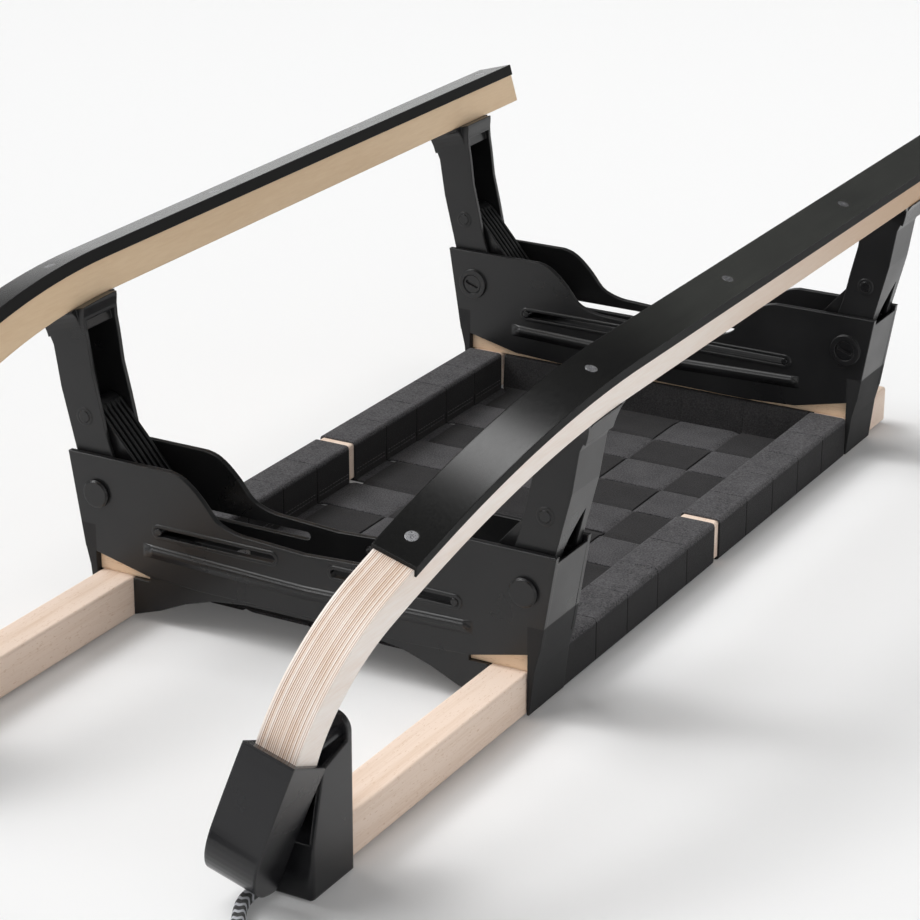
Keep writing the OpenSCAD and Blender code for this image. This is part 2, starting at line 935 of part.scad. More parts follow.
module rope(side) {
  color(black_colour)
    on_side(side)
      translate([0, rope_y0, 0])
        rope_tube(rope_path);
}

module rope_right() { rope(1); }
module rope_left() { rope(-1); }

// The rest of the rope, wound to a flat hank
module rope_hank() {
  color(black_colour)
    translate([0, hank_y, 0])
      linear_extrude(hank_h)
        union() {
          square([hank_l - hank_w, hank_w], center = true);
          for (s = [-1, 1])
            translate([s * (hank_l - hank_w) / 2, 0])
              circle(r = hank_w / 2);
        }
}

module rope_tie() {
  color(black_colour)
    translate([0, hank_y, 0])
      difference() {
        span([-7, -hank_w / 2 - 3, 0], [7, hank_w / 2 + 3, hank_h + 3]);
        span([-8, -hank_w / 2, -1], [8, hank_w / 2, hank_h]);
      }
}

rail_right();
rail_left();
crossbar_front();
crossbar_rear();
beam_front();
beam_rear();
rail_screws();
beam_screws();
pivot_pins_front();
pivot_pins_rear();
nose_seat_right();
nose_seat_left();
nose_pins();
straps_cross();
straps_long();
rope_right();
rope_left();
rope_hank();
rope_tie();
runner_right();
sole_right();
sole_screws_right();
leg_front_right();
leg_rear_right();
leg_pins_right();
nose_cap_right();
runner_left();
sole_left();
sole_screws_left();
leg_front_left();
leg_rear_left();
leg_pins_left();
nose_cap_left();
strut_front_right();
strut_rear_right();
strut_front_left();
strut_rear_left();
slot_pin_front_right();
slot_pin_rear_right();
slot_pin_front_left();
slot_pin_rear_left();
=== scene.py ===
# %% [markdown]
# # A folding sled, lying seat side down
#
# The sled lies on its seat with both runners up, as it does in storage. Its shapes come from a
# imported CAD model, and this lesson dresses it: light wood, satin black plastic, woven webbing,
# steel screws and a braided pull rope. The lengths below are in metres, and most of them repeat
# the CAD's own.

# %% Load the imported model
import math

import bmesh
import bpy
from mathutils import Matrix, Vector


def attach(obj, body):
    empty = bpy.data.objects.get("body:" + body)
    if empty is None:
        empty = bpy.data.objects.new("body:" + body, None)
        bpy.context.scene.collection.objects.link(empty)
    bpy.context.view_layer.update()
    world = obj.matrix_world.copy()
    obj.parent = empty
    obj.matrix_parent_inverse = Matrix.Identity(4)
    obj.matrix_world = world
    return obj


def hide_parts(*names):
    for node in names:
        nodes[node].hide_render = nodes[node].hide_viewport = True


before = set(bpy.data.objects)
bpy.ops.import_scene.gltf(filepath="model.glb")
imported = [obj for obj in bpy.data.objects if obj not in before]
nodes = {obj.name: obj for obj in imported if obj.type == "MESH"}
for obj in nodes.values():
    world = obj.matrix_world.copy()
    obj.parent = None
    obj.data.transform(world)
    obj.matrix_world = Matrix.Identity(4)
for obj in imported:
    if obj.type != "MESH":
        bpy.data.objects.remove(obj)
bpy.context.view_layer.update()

# %% [markdown]
# ## The camera
#
# Vanishing points give a camera's turn, and one known length gives its distance. Here 29 degrees
# round and 22 degrees up put most straight edges of the sled within three pixels of the
# photograph's. The long lens keeps the two runners nearly parallel, which a short lens would not.

# %% Camera
CAMERA_PLACE = (0.91906, -1.58609, 0.81288)
CAMERA_TURN, CAMERA_DOWN, CAMERA_ROLL = 29.3754, 21.6529, 0.1486
camera_data = bpy.data.cameras.new("camera")
camera_data.lens = 115.558
camera_data.sensor_width = 36.0
camera_data.clip_start, camera_data.clip_end = 0.05, 50.0
camera = bpy.data.objects.new("camera", camera_data)
bpy.context.scene.collection.objects.link(camera)
camera.matrix_world = (
    Matrix.Translation(CAMERA_PLACE)
    @ Matrix.Rotation(math.radians(CAMERA_TURN), 4, "Z")
    @ Matrix.Rotation(math.radians(90.0 - CAMERA_DOWN), 4, "X")
    @ Matrix.Rotation(math.radians(CAMERA_ROLL), 4, "Z")
)
bpy.context.scene.camera = camera
print("camera at", [round(v, 3) for v in camera.location], "lens", camera_data.lens)

# %% [markdown]
# ## Sizes that several pieces share
#
# A dressed piece has to sit where the solid sits, so the lengths that place the straps, the rails
# and the rope are written once, here, and every later cell takes them from this one.

# %% Shared sizes
RAIL_IN, RAIL_OUT, RAIL_TOP = 0.1325, 0.1595, 0.0291
STRAP_T, LAYER, LIFT = 0.0016, 0.0014, 0.0017
FIELD_Y0, FIELD_Y1 = -0.1079, 0.3465
BARE, CROSS_N, LONG_N = 0.0075, 5, 5
CROSS_PITCH = (FIELD_Y1 - FIELD_Y0 - BARE) / (2 * CROSS_N)
LONG_PITCH = 2 * RAIL_IN / 5.4
WOOD_FRONT = -0.42787
FOLD_X, FOLD_Z, LEAN = 0.1575, 0.084, math.radians(16.0)
print("cross pitch", round(CROSS_PITCH, 5), "long pitch", round(LONG_PITCH, 5))

# %% [markdown]
# ## Small helpers for meshes
#
# Straps and rope are both one outline carried along a line, so one helper makes them all: it
# takes a ring of points for each step, joins ring to ring with quads, and closes both ends. It
# also writes a UV map, one unit of V for each metre along the piece, because a weave has to
# follow the strap round the rail and can't be laid on from outside.


# %% Mesh helpers
def piece_from_mesh(name, mesh):
    """An object at the origin that holds this mesh."""
    made = bpy.data.objects.new(name, mesh)
    bpy.context.scene.collection.objects.link(made)
    return made


def swept_mesh(name, runs):
    """Closed tubes in one mesh. Each run is (rings, along, around): the rings of points, the
    length at each ring and the U of each point of a ring."""
    verts, faces, uvs = [], [], []
    for rings, along, around in runs:
        base, m = len(verts), len(rings[0])
        for ring in rings:
            verts.extend(ring)
        for i in range(len(rings) - 1):
            for k in range(m):
                n = (k + 1) % m
                a, b = base + i * m + k, base + i * m + n
                faces.append((a, b, b + m, a + m))
                u0, u1 = around[k], around[k + 1]
                uvs.append(((u0, along[i]), (u1, along[i]), (u1, along[i + 1]), (u0, along[i + 1])))
        for row, order in ((0, range(m - 1, -1, -1)), (len(rings) - 1, range(m))):
            faces.append(tuple(base + row * m + k for k in order))
            uvs.append(tuple((around[k], along[row]) for k in order))
    mesh = bpy.data.meshes.new(name)
    mesh.from_pydata([tuple(v) for v in verts], [], faces)
    layer = mesh.uv_layers.new(name="UVMap")
    flat = [c for face in uvs for corner in face for c in corner]
    layer.data.foreach_set("uv", flat)
    for polygon in mesh.polygons:
        polygon.use_smooth = len(polygon.vertices) == 4
    mesh.update()
    return mesh


def faces_outward(mesh):
    """Recalculates the normals of a closed mesh so that every face points outwards."""
    bm = bmesh.new()
    bm.from_mesh(mesh)
    bmesh.ops.recalc_face_normals(bm, faces=bm.faces)
    bm.to_mesh(mesh)
    bm.free()
    mesh.update()


def smooth_points(points, steps):
    """Points on the smooth curve through the given ones, the same curve as the CAD rope's."""
    made = []
    last = len(points) - 1
    for i in range(last):
        a, b, c, d = (points[max(0, min(last, j))] for j in (i - 1, i, i + 1, i + 2))
        for s in range(steps):
            t = s / steps
            made.append(
                0.5 * (2 * b + (c - a) * t + (2 * a - 5 * b + 4 * c - d) * t * t
                       + (3 * b - a - 3 * c + d) * t * t * t)
            )
    made.append(points[last])
    return made


print("helpers ready")

# %% [markdown]
# ## Node helpers
#
# A finish is a chain of small nodes, and a long list of them hides what they do. A few helpers
# keep the chains readable: they add a node and set its inputs, add a sum, a colour ramp, a soft
# step or a mix, and turn the everyday 0 to 255 colour of a swatch card into the linear colour
# that Blender computes with.


# %% Node helpers
def swatch(red, green, blue):
    """The linear colour of an everyday 0 to 255 one."""
    def linear(v):
        v /= 255.0
        return v / 12.92 if v <= 0.04045 else ((v + 0.055) / 1.055) ** 2.4
    return (linear(red), linear(green), linear(blue), 1.0)


def new_finish(name):
    """A material with its tree, its shader and its Object coordinates."""
    material = bpy.data.materials.new(name)
    material.use_nodes = True
    tree = material.node_tree
    shader = next(n for n in tree.nodes if n.type == "BSDF_PRINCIPLED")
    coordinates = tree.nodes.new("ShaderNodeTexCoord")
    return material, tree, shader, coordinates


def add(tree, kind, inputs=None, **settings):
    """Adds a node, sets its settings, and sets or links its inputs."""
    node = tree.nodes.new(kind)
    for key, value in settings.items():
        setattr(node, key, value)
    for key, value in (inputs or {}).items():
        if isinstance(value, bpy.types.NodeSocket):
            tree.links.new(value, node.inputs[key])
        else:
            node.inputs[key].default_value = value
    return node


def sums(tree, operation, a, b=0.0, c=0.0):
    """The output of one Math node."""
    return add(tree, "ShaderNodeMath", {0: a, 1: b, 2: c}, operation=operation).outputs[0]


def ramp(tree, factor, stops):
    """A colour ramp through (place, colour) stops."""
    node = add(tree, "ShaderNodeValToRGB", {"Fac": factor})
    bar = node.color_ramp
    while len(bar.elements) < len(stops):
        bar.elements.new(0.5)
    for element, (place, colour) in zip(bar.elements, stops):
        element.position, element.color = place, colour
    return node.outputs["Color"]


def between(tree, value, low, high):
    """0 to 1 as a value goes from low to high, softly."""
    return add(tree, "ShaderNodeMapRange", {"Value": value, "From Min": low, "From Max": high},
               interpolation_type="SMOOTHSTEP").outputs[0]


def mixed(tree, factor, first, second):
    """The first colour where the factor is 0 and the second where it is 1."""
    node = add(tree, "ShaderNodeMix", {"Factor": factor, 6: first, 7: second}, data_type="RGBA")
    return node.outputs[2]


print("a middle grey swatch in linear colour:", round(swatch(128, 128, 128)[0], 3))

# %% [markdown]
# ## The pull rope
#
# A child's sled has one limp rope whose two ends go in under the noses. The photograph shows only
# its first few centimetres. The rest is put away as people do it: wound to a flat hank with a tie
# round its waist, on the ground in front of the noses and outside the picture. The route starts
# at the CAD's exit and, before the hank, lies up to about 4.3 mm beside the CAD's line. It makes
# three and a half turns and goes back in at the left.

# %% Rope route
ROPE_D = 0.008
HANK_Y = WOOD_FRONT - 0.130
# The free stretch at the right, in millimetres, with Y counted from the wood's front end
free_run = [
    (137.3, 30, 5.8), (137, 21, 5.8), (135, 11, 4.6), (134.8, 1, 4.1), (138.2, -10, 4.1),
    (144.4, -22, 4.1), (150.5, -38, 4.1), (151.5, -62, 4.1), (140, -88, 4.1), (117, -103, 4.1),
    (94, -108, 4.1), (71.9, -108, 4.1),
]
free_right = [Vector((x / 1000, WOOD_FRONT + y / 1000, z / 1000)) for x, y, z in free_run]
# Heights of the hank's two layers, half its straight run, and half the widths of its loops
LOW, HIGH, HALF_RUN = 0.0041, 0.0126, 0.053
OUTER, INNER = 0.022, 0.013


def fold(side, y0, y1, z, steps=14):
    """Half a turn at one end of the hank, from y0 round to y1."""
    middle, radius = (y0 + y1) / 2, (y0 - y1) / 2
    return [
        Vector((side * (HALF_RUN + abs(radius) * math.sin(math.pi * s / steps)),
                HANK_Y + middle + radius * math.cos(math.pi * s / steps), z))
        for s in range(steps + 1)
    ]


def straight(side, y, z0, z1, steps=8):
    """A run towards the given side, its height changing over its last third."""
    made = []
    for s in range(1, steps):
        t = s / steps
        rise = min(1.0, max(0.0, (t - 0.6) / 0.35))
        rise = rise * rise * (3 - 2 * rise)
        made.append(Vector((side * HALF_RUN * (2 * t - 1), HANK_Y + y, z0 + (z1 - z0) * rise)))
    return made


wound = (
    straight(-1, OUTER, LOW, LOW) + fold(-1, OUTER, -OUTER, LOW)
    + straight(1, -OUTER, LOW, LOW) + fold(1, -OUTER, INNER, LOW)
    + straight(-1, INNER, LOW, LOW) + fold(-1, INNER, -INNER, LOW)
    + straight(1, -INNER, LOW, HIGH) + fold(1, -INNER, INNER, HIGH)
    + straight(-1, INNER, HIGH, HIGH) + fold(-1, INNER, -OUTER, HIGH)
    + straight(1, -OUTER, HIGH, HIGH) + fold(1, -OUTER, OUTER, HIGH)
    + straight(-1, OUTER, HIGH, HIGH)
)
free_left = [Vector((-p.x, p.y, p.z)) for p in reversed(free_right)]
# The wound part ends in the upper layer, so the left end comes down from there in two points
free_left[0].z, free_left[1].z = HIGH, 0.0075
route = smooth_points(free_right + wound + free_left, 3)
ROPE_LENGTH = sum((b - a).length for a, b in zip(route, route[1:]))
print("rope route:", len(route), "points,", round(ROPE_LENGTH, 3), "m")

# %% [markdown]
# A braided rope is a tube whose surface the finish knits, so the mesh only has to be round and
# even. Each ring stands square to the route. Its first direction is carried over from the ring
# before, so the braid doesn't twist where the rope bends.


# %% Rope
def tube_run(points, radius, sides, start=0.0):
    """Rings round a route, square to it, with no twist from one to the next."""
    rings, along, length = [], [], start
    across = Vector((0.0, 0.0, 1.0))
    for i, p in enumerate(points):
        way = (points[min(i + 1, len(points) - 1)] - points[max(i - 1, 0)]).normalized()
        across = (across - way * across.dot(way)).normalized()
        other = way.cross(across)
        rings.append([
            p + radius * (math.cos(math.tau * k / sides) * across
                          + math.sin(math.tau * k / sides) * other)
            for k in range(sides)
        ])
        along.append(length)
        if i + 1 < len(points):
            length += (points[i + 1] - p).length
    return rings, along, [k / sides for k in range(sides + 1)]


rope = piece_from_mesh("pull_rope", swept_mesh("pull_rope", [tube_run(route, ROPE_D / 2, 12)]))
faces_outward(rope.data)
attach(rope, "frame")

# The tie is three turns of thin cord round the hank, each a rounded box
TIE_STEPS, TIE_PITCH, TIE_R, TIE_TURN = 48, 0.0042, 0.0017, 0.11
TIE_HALF_Y, TIE_HALF_Z, TIE_Z, BOXINESS = 0.0275, 0.0098 * 0.84, 0.0100, 3.2
tie_ring = []
for s in range(TIE_STEPS + 1):
    a = math.tau * s / TIE_STEPS
    c, d = math.cos(a), math.sin(a)
    k = (abs(c) ** BOXINESS + abs(d) ** BOXINESS) ** (-1 / BOXINESS)
    tie_ring.append((HANK_Y + TIE_HALF_Y * c * k, TIE_Z + TIE_HALF_Z * d * k))
tie_runs = []
for strand in range(3):
    x = (strand - 1) * TIE_PITCH
    loop = [Vector((x + TIE_PITCH * s / TIE_STEPS, y, z)) for s, (y, z) in enumerate(tie_ring)]
    tie_runs.append(tube_run(loop, TIE_R, 8, strand * TIE_TURN))
tie = piece_from_mesh("rope_whipping", swept_mesh("rope_whipping", tie_runs))
faces_outward(tie.data)
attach(tie, "frame")
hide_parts("rope_right", "rope_left", "rope_hank")
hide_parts("rope_tie")
print("rope mesh:", len(rope.data.polygons), "faces; whipping:", len(tie.data.polygons))

# %% [markdown]
# ## The woven seat
#
# The seat is flat webbing. Ten cross straps run round both rails and back into themselves, and
# five long straps go from one crossbar to the other, over one cross strap and under the next. A
# strap is one outline, a thin rounded bar, carried along its own line, so its edges and its
# climb at each crossing are real and catch the light as the checkerboard in the photograph does.


# %% Webbing outline and path helpers
STRAP_LOW = 0.00078
CORNER_R, CLIMB_R = 0.0024, 0.0013
# Rise of a strap's middle over its edges, and where its rounded edge starts and ends
CROWN, EDGE_OUT, EDGE_IN = 0.0002, 0.0004, 0.0011
# Half the length of a strap's climb at a crossing
CROSS_RISE, LONG_RISE = 0.0042, 0.0044


def strap_outline(width, thick):
    """(place across the strap, place through it) round a flat bar with rounded edges."""
    half, t = width / 2, thick / 2
    top = [-half + EDGE_OUT, -half + EDGE_IN, -half / 2, 0.0, half / 2, half - EDGE_IN,
           half - EDGE_OUT]
    return (
        [(w, t) for w in top] + [(half, 0.0)]
        + [(w, -t) for w in reversed(top)] + [(-half, 0.0)]
    )


def weave_height(s, edges, ups, rise):
    """Height of a strap's middle at place s, for cells between edges that lie up or down."""
    cell = max(0, min(len(ups) - 1, sum(1 for e in edges[1:-1] if s > e)))
    level = float(ups[cell])
    for k in range(1, len(edges) - 1):
        d = s - edges[k]
        if abs(d) < rise and ups[k - 1] != ups[k]:
            t = (d + rise) / (2 * rise)
            t = t * t * (3 - 2 * t)
            level = ups[k - 1] + (ups[k] - ups[k - 1]) * t
    return STRAP_LOW + LIFT * level


def rounded_corners(points, radius, steps=6):
    """A polyline with its inner corners rounded off, from this far before each to this far after."""
    made = [points[0]]
    for a, b, c in zip(points, points[1:], points[2:]):
        way_in, way_out = (b - a).normalized(), (c - b).normalized()
        if way_in.dot(way_out) > 0.999:
            made.append(b)
            continue
        start, end = b - way_in * radius, b + way_out * radius
        for s in range(steps + 1):
            t = s / steps
            made.append((start * (1 - t) + b * t) * (1 - t) + (b * (1 - t) + end * t) * t)
    made.append(points[-1])
    return made


def strap_rings(line, outline, to_space):
    """Rings of an outline along a line in a plane; to_space turns (s, across, z) to a point."""
    rings, along, length = [], [], 0.0
    for i, p in enumerate(line):
        before, after = line[max(0, i - 1)], line[min(len(line) - 1, i + 1)]
        way = (after - before).normalized()
        normal = Vector((-way.y, way.x))
        half = max(w for w, _ in outline)
        ring = []
        for w, n in outline:
            lift = CROWN * (1 - (w / half) ** 2) if n > 0 and abs(way.y) < 0.2 else 0.0
            q = p + normal * (n + lift)
            ring.append(to_space(q.x, w, q.y))
        rings.append(ring)
        along.append(length)
        if i + 1 < len(line):
            length += (line[i + 1] - p).length
    return rings, along, [w for w, _ in outline] + [outline[0][0]]


print("strap outline points:", len(strap_outline(0.04, LAYER)))

# %% Cross straps
# Where the outer long straps end, where a cross strap's woven part ends, and a place past both
SEAT_EDGE, WOVEN_END, PAST_SEAT = 0.1286, 0.1335, 0.14


def cross_y(i):
    return FIELD_Y0 + CROSS_PITCH * (i + 0.5) + (BARE if i >= CROSS_N else 0.0)


def cross_line(i):
    """Middle line of a cross strap in X and Z, from its sewn end at the left to the right one."""
    edge = LONG_PITCH * LONG_N / 2
    edges = [-edge + LONG_PITCH * k for k in range(LONG_N + 1)]
    edges[0], edges[-1] = -SEAT_EDGE, SEAT_EDGE
    ups = [1 if (i + j) % 2 == 0 else 0 for j in range(LONG_N)]
    edges, ups = [-PAST_SEAT] + edges + [PAST_SEAT], [0] + ups + [0]
    steps = 118
    woven = []
    for s in range(steps + 1):
        x = -WOVEN_END + 2 * WOVEN_END * s / steps
        woven.append(Vector((x, weave_height(x, edges, ups, CROSS_RISE))))
    half_t = STRAP_T / 2
    out, top, inner = RAIL_OUT + half_t, RAIL_TOP + half_t, RAIL_IN - half_t
    wrap = [
        (0.137, STRAP_LOW), (0.150, STRAP_LOW), (out, STRAP_LOW), (out, 0.010), (out, 0.020),
        (out, top), (0.152, top), (0.140, top), (inner, top), (inner, 0.020), (inner, 0.010),
        (inner, 0.0012),
    ]
    right = rounded_corners([Vector(p) for p in wrap], CORNER_R)
    left = [Vector((-p.x, p.y)) for p in reversed(right)]
    return left + woven + right


cross_outline = strap_outline(CROSS_PITCH - 0.0005, LAYER)
cross_runs = []
for i in range(2 * CROSS_N):
    y = cross_y(i)
    cross_runs.append(
        strap_rings(cross_line(i), cross_outline, lambda s, w, z, y=y: Vector((s, y + w, z)))
    )
straps_cross = piece_from_mesh("webbing_cross", swept_mesh("webbing_cross", cross_runs))
faces_outward(straps_cross.data)
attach(straps_cross, "frame")
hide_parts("straps_cross")
print("cross straps:", len(cross_runs), "faces", len(straps_cross.data.polygons))

# %% Long straps
BAR_REACH = 0.040


def climb(edge, way, low):
    """The end of a long strap from the weave outwards: up to its crossbar and under it."""
    under = RAIL_TOP - 0.0009
    places = [
        tuple(low), (edge + way * 0.0004, low.y), (edge + way * 0.0010, 0.012),
        (edge + way * 0.0022, under), (edge + way * 0.015, under), (edge + way * BAR_REACH, under),
    ]
    return rounded_corners([Vector(p) for p in places], CLIMB_R)


def long_line(j):
    """Middle line of a long strap in Y and Z, from under one crossbar to under the other."""
    edges = [cross_y(i) - CROSS_PITCH / 2 for i in range(2 * CROSS_N)] + [FIELD_Y1]
    edges[CROSS_N] -= BARE / 2
    ups = [0 if (i + j) % 2 == 0 else 1 for i in range(2 * CROSS_N)]
    steps = 200
    y0, y1 = FIELD_Y0 + 0.0018, FIELD_Y1 - 0.0018
    woven = []
    for s in range(steps + 1):
        y = y0 + (y1 - y0) * s / steps
        woven.append(Vector((y, weave_height(y, edges, ups, LONG_RISE))))
    front = climb(FIELD_Y0, -1, woven[0])[::-1]
    return front[:-1] + woven + climb(FIELD_Y1, 1, woven[-1])[1:]


# Over the last stretch before a beam, the straps' places and widths grow by these shares
FAN_RUN, FAN_PLACE, FAN_WIDTH = 0.010, 0.055, 0.107


def spread(s, x, w):
    """Place across the seat: the long straps fan out and meet where they turn up at the beams."""
    beyond = min(1.0, max(FIELD_Y0 + FAN_RUN - s, s - FIELD_Y1 + FAN_RUN, 0.0) / FAN_RUN)
    return x * (1.0 + FAN_PLACE * beyond) + w * (1.0 + FAN_WIDTH * beyond)


long_outline = strap_outline(LONG_PITCH - 0.0017, LAYER)
long_runs = []
for j in range(LONG_N):
    x = (j - (LONG_N - 1) / 2) * LONG_PITCH
    long_runs.append(strap_rings(
        long_line(j), long_outline, lambda s, w, z, x=x: Vector((spread(s, x, w), s, z))
    ))
straps_long = piece_from_mesh("webbing_long", swept_mesh("webbing_long", long_runs))
faces_outward(straps_long.data)
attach(straps_long, "frame")
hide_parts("straps_long")
print("long straps:", len(long_runs), "faces", len(straps_long.data.polygons))

# %% [markdown]
# ### The seams of the wraps
#
# Each cross strap is sewn back to itself just inside the rail. A seam is one stitch repeated
# along a line, which is what Geometry Nodes are for: the tree takes a line of points, puts a
# short round-ended thread on each, turns it along the line, and ends in real mesh.


# %% Stitch tree
STITCH = {"Pitch": 0.0034, "Length": 0.0023, "Radius": 0.0003}


def stitch_tree(material):
    """A node group that lays stitches along the edges of a mesh line."""
    tree = bpy.data.node_groups.new("sewn_line", "GeometryNodeTree")
    face = tree.interface
    face.new_socket("Geometry", in_out="INPUT", socket_type="NodeSocketGeometry")
    sizes = {}
    for label, value in STITCH.items():
        socket = face.new_socket(label, in_out="INPUT", socket_type="NodeSocketFloat")
        socket.default_value = value
        sizes[label] = socket.identifier
    face.new_socket("Geometry", in_out="OUTPUT", socket_type="NodeSocketGeometry")
    start = tree.nodes.new("NodeGroupInput")
    end = tree.nodes.new("NodeGroupOutput")
    curve = add(tree, "GeometryNodeMeshToCurve", {"Mesh": start.outputs["Geometry"]})
    points = add(tree, "GeometryNodeCurveToPoints",
                 {"Curve": curve.outputs["Curve"], "Length": start.outputs["Pitch"]}, mode="LENGTH")
    thread = add(tree, "GeometryNodeMeshCylinder",
                 {"Vertices": 8, "Side Segments": 3, "Radius": start.outputs["Radius"],
                  "Depth": start.outputs["Length"]})
    turned = add(tree, "FunctionNodeAlignRotationToVector",
                 {"Vector": points.outputs["Tangent"]}, axis="Z")
    laid = add(tree, "GeometryNodeInstanceOnPoints",
               {"Points": points.outputs["Points"], "Instance": thread.outputs["Mesh"],
                "Rotation": turned.outputs["Rotation"]})
    real = add(tree, "GeometryNodeRealizeInstances", {"Geometry": laid.outputs["Instances"]})
    finish = add(tree, "GeometryNodeSetMaterial", {"Geometry": real.outputs["Geometry"]})
    finish.inputs["Material"].default_value = material
    tree.links.new(finish.outputs["Geometry"], end.inputs["Geometry"])
    return tree, sizes


def grown_piece(name, mesh, tree, values):
    """Runs a node tree on a mesh once, and returns the result as a plain mesh object."""
    carrier = piece_from_mesh(name + "_line", mesh)
    modifier = carrier.modifiers.new("nodes", "NODES")
    modifier.node_group = tree
    for key, value in values.items():
        modifier[key] = value
    bpy.context.view_layer.update()
    graph = bpy.context.evaluated_depsgraph_get()
    made = bpy.data.meshes.new_from_object(carrier.evaluated_get(graph))
    made.name = name
    bpy.data.objects.remove(carrier)
    return piece_from_mesh(name, made)


print("stitch tree ready")

# %% [markdown]
# ## Webbing finish
#
# Webbing is woven in one piece: ribs run across the strap and fine warp threads along it. Both
# follow the strap's own UV map, so they go round the rail with it. The cross straps are a worn
# grey and the long ones nearly black, which is the photograph's checkerboard. Where the grey ones
# stand up along the rails' sides, painted shade makes them darker.


# %% Webbing
RIB_PITCH, WARP_PITCH = 0.0013, 0.0011


def webbing_finish(name, light, dark):
    material, tree, shader, coordinates = new_finish(name)
    uv = add(tree, "ShaderNodeSeparateXYZ", {0: coordinates.outputs["UV"]})
    across, along = uv.outputs[0], uv.outputs[1]
    rib = sums(tree, "SINE", sums(tree, "MULTIPLY", along, math.tau / RIB_PITCH))
    warp = sums(tree, "SINE", sums(tree, "MULTIPLY", across, math.tau / WARP_PITCH))
    weave = sums(tree, "MULTIPLY_ADD", sums(tree, "MULTIPLY", rib, warp), 0.5, 0.5)
    cloud = add(tree, "ShaderNodeTexNoise",
                {"Vector": coordinates.outputs["Object"], "Scale": 60.0, "Detail": 3.0})
    fleck = add(tree, "ShaderNodeTexNoise",
                {"Vector": coordinates.outputs["Object"], "Scale": 900.0, "Detail": 2.0})
    tone = sums(tree, "MULTIPLY_ADD", cloud.outputs["Fac"], 0.5, sums(tree, "MULTIPLY", weave, 0.3))
    tone = sums(tree, "MULTIPLY_ADD", fleck.outputs["Fac"], 2.0, sums(tree, "SUBTRACT", tone, 0.95))
    place = add(tree, "ShaderNodeSeparateXYZ", {0: coordinates.outputs["Object"]})
    aside = sums(tree, "ABSOLUTE", place.outputs[0])
    # Painted shade: below the rail's top and from just inside the rail's inner face outwards, the
    # colour is pulled down towards the ramp's darkest stop.
    below = between(tree, place.outputs[2], RAIL_TOP - 0.0002, RAIL_TOP - 0.0028)
    beside = between(tree, aside, RAIL_IN - 0.0030, RAIL_IN - 0.0022)
    tone = sums(tree, "MULTIPLY_ADD", sums(tree, "MULTIPLY", below, beside), -0.75, tone)
    colour = ramp(tree, tone, [(0.0, swatch(34, 33, 34)), (0.2, dark), (0.85, light)])
    tree.links.new(colour, shader.inputs["Base Color"])
    shader.inputs["Roughness"].default_value = 0.82
    shader.inputs["Specular IOR Level"].default_value = 0.25
    shader.inputs["Sheen Weight"].default_value = 0.08
    shader.inputs["Sheen Roughness"].default_value = 0.4
    bump = add(tree, "ShaderNodeBump", {"Height": weave, "Strength": 0.7, "Distance": 0.00022})
    tree.links.new(bump.outputs["Normal"], shader.inputs["Normal"])
    return material


webbing_light = webbing_finish("webbing_grey", swatch(92, 91, 93), swatch(58, 57, 59))
webbing_dark = webbing_finish("webbing_black", swatch(55, 54, 55), swatch(36, 35, 36))
straps_cross.data.materials.append(webbing_light)
straps_long.data.materials.append(webbing_dark)
print("webbing finishes:", webbing_light.name, webbing_dark.name)

# %% [markdown]
# ## Rope and thread
#
# The rope is a black braid with a light zigzag. On an unrolled tube a zigzag is only a wave of V
# against U, so one triangle wave round the tube and one repeat along it draw it, and the braid's
# strands come from two sets of slanting ribs.

# %% Rope and thread finishes
CHEVRONS, CHEVRON_PITCH, CHEVRON_DEPTH, LIGHT_SHARE = 8.0, 0.0070, 0.42, 0.40
STRAND_SLOPE, STRANDS = 420.0, 4
braid, tree, shader, coordinates = new_finish("rope_braid")
uv = add(tree, "ShaderNodeSeparateXYZ", {0: coordinates.outputs["UV"]})
around, along = uv.outputs[0], uv.outputs[1]
wave = sums(tree, "PINGPONG", sums(tree, "MULTIPLY", around, CHEVRONS), 1.0)
zigzag = sums(tree, "FRACT", sums(tree, "MULTIPLY_ADD", along, 1 / CHEVRON_PITCH,
                                  sums(tree, "MULTIPLY", wave, CHEVRON_DEPTH)))
line = sums(tree, "LESS_THAN", zigzag, LIGHT_SHARE)
slants = [
    sums(tree, "SINE", sums(tree, "MULTIPLY", sums(tree, "MULTIPLY_ADD", along, slope, around),
                            math.tau * STRANDS))
    for slope in (STRAND_SLOPE, -STRAND_SLOPE)
]
strands = sums(tree, "MULTIPLY", *slants)
colour = ramp(tree, line, [(0.3, swatch(24, 24, 26)), (0.7, swatch(196, 198, 204))])
tree.links.new(colour, shader.inputs["Base Color"])
shader.inputs["Roughness"].default_value = 0.8
shader.inputs["Sheen Weight"].default_value = 0.2
bump = add(tree, "ShaderNodeBump", {"Height": strands, "Strength": 0.6, "Distance": 0.0004})
tree.links.new(bump.outputs["Normal"], shader.inputs["Normal"])
rope.data.materials.append(braid)

thread, tree, shader, coordinates = new_finish("thread")
twist = add(tree, "ShaderNodeTexNoise",
            {"Vector": coordinates.outputs["Object"], "Scale": 2200.0, "Detail": 1.0})
colour = ramp(tree, twist.outputs["Fac"], [(0.3, swatch(60, 58, 60)), (0.7, swatch(104, 101, 103))])
tree.links.new(colour, shader.inputs["Base Color"])
shader.inputs["Roughness"].default_value = 0.7
tie.data.materials.append(thread)
print("rope finishes:", braid.name, thread.name)

# %% [markdown]
# With the thread's finish made, the seams can be sewn: two lines of stitches low on the inner
# wall of each wrap, at both rails.

